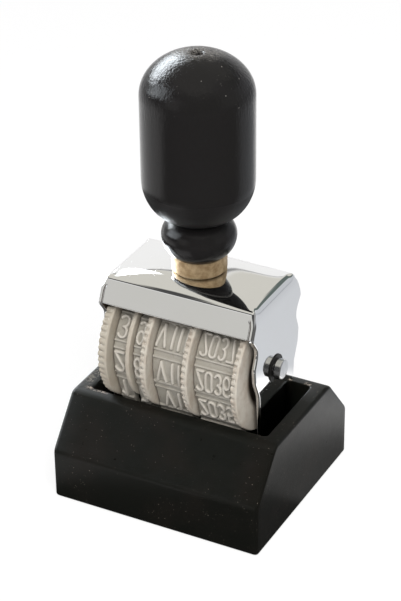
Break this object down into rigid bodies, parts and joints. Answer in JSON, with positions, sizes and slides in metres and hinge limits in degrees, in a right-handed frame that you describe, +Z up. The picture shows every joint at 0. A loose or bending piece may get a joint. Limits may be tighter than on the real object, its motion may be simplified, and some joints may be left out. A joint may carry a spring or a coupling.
{
  "type": "roller date stamp",
  "caption": "Hand date stamp with toothed thumb wheels, number bands in a chromed frame and a turned handle, standing in a wooden rest.",
  "frame": {"origin": "middle of the underside of the rest", "axes": "+Z up along the handle, +X along the wheel axle to the clip end seen in the picture, -Y towards the user's thumb"},
  "size_m": [0.0452, 0.041, 0.0933],
  "materials": {
    "black_wood": "satin black paint on turned and planed wood",
    "black_lacquer": "gloss black lacquer on turned wood",
    "chrome_sheet": "bright chrome plate",
    "bright_steel": "plain bright steel",
    "black_steel": "blackened spring steel",
    "dull_brass": "dull brass",
    "ivory_plastic": "moulded ivory plastic",
    "grey_rubber": "grey beige rubber"
  },
  "bodies": {
    "rest": {"rest": "black_wood"},
    "stamp": {"frame_shell": "chrome_sheet", "platen": "bright_steel", "left_rivet": "bright_steel", "right_rivet": "bright_steel", "axle": "bright_steel", "tens_band": "grey_rubber", "units_band": "grey_rubber", "month_band": "grey_rubber", "year_band": "grey_rubber", "left_shim": "dull_brass", "right_shim": "dull_brass", "left_clip": "black_steel", "right_clip": "black_steel", "ferrule": "dull_brass", "handle": "black_lacquer", "handle_screw": "bright_steel"},
    "tens_wheel": {"tens_wheel": "ivory_plastic"},
    "units_wheel": {"units_wheel": "ivory_plastic"},
    "month_wheel": {"month_wheel": "ivory_plastic"},
    "year_wheel": {"year_wheel": "ivory_plastic"}
  },
  "joints": [
    {"name": "stamp_lift", "type": "slide", "parent": "rest", "child": "stamp", "axis": [0, 0, 1], "range_m": [0, 0.04]},
    {"name": "tens_turn", "type": "hinge", "parent": "stamp", "child": "tens_wheel", "pos_m": [0, -0.0008, 0.0305], "axis": [1, 0, 0], "continuous": true},
    {"name": "units_turn", "type": "hinge", "parent": "stamp", "child": "units_wheel", "pos_m": [0, -0.0008, 0.0305], "axis": [1, 0, 0], "continuous": true},
    {"name": "month_turn", "type": "hinge", "parent": "stamp", "child": "month_wheel", "pos_m": [0, -0.0008, 0.0305], "axis": [1, 0, 0], "continuous": true},
    {"name": "year_turn", "type": "hinge", "parent": "stamp", "child": "year_wheel", "pos_m": [0, -0.0008, 0.0305], "axis": [1, 0, 0], "continuous": true}
  ]
}
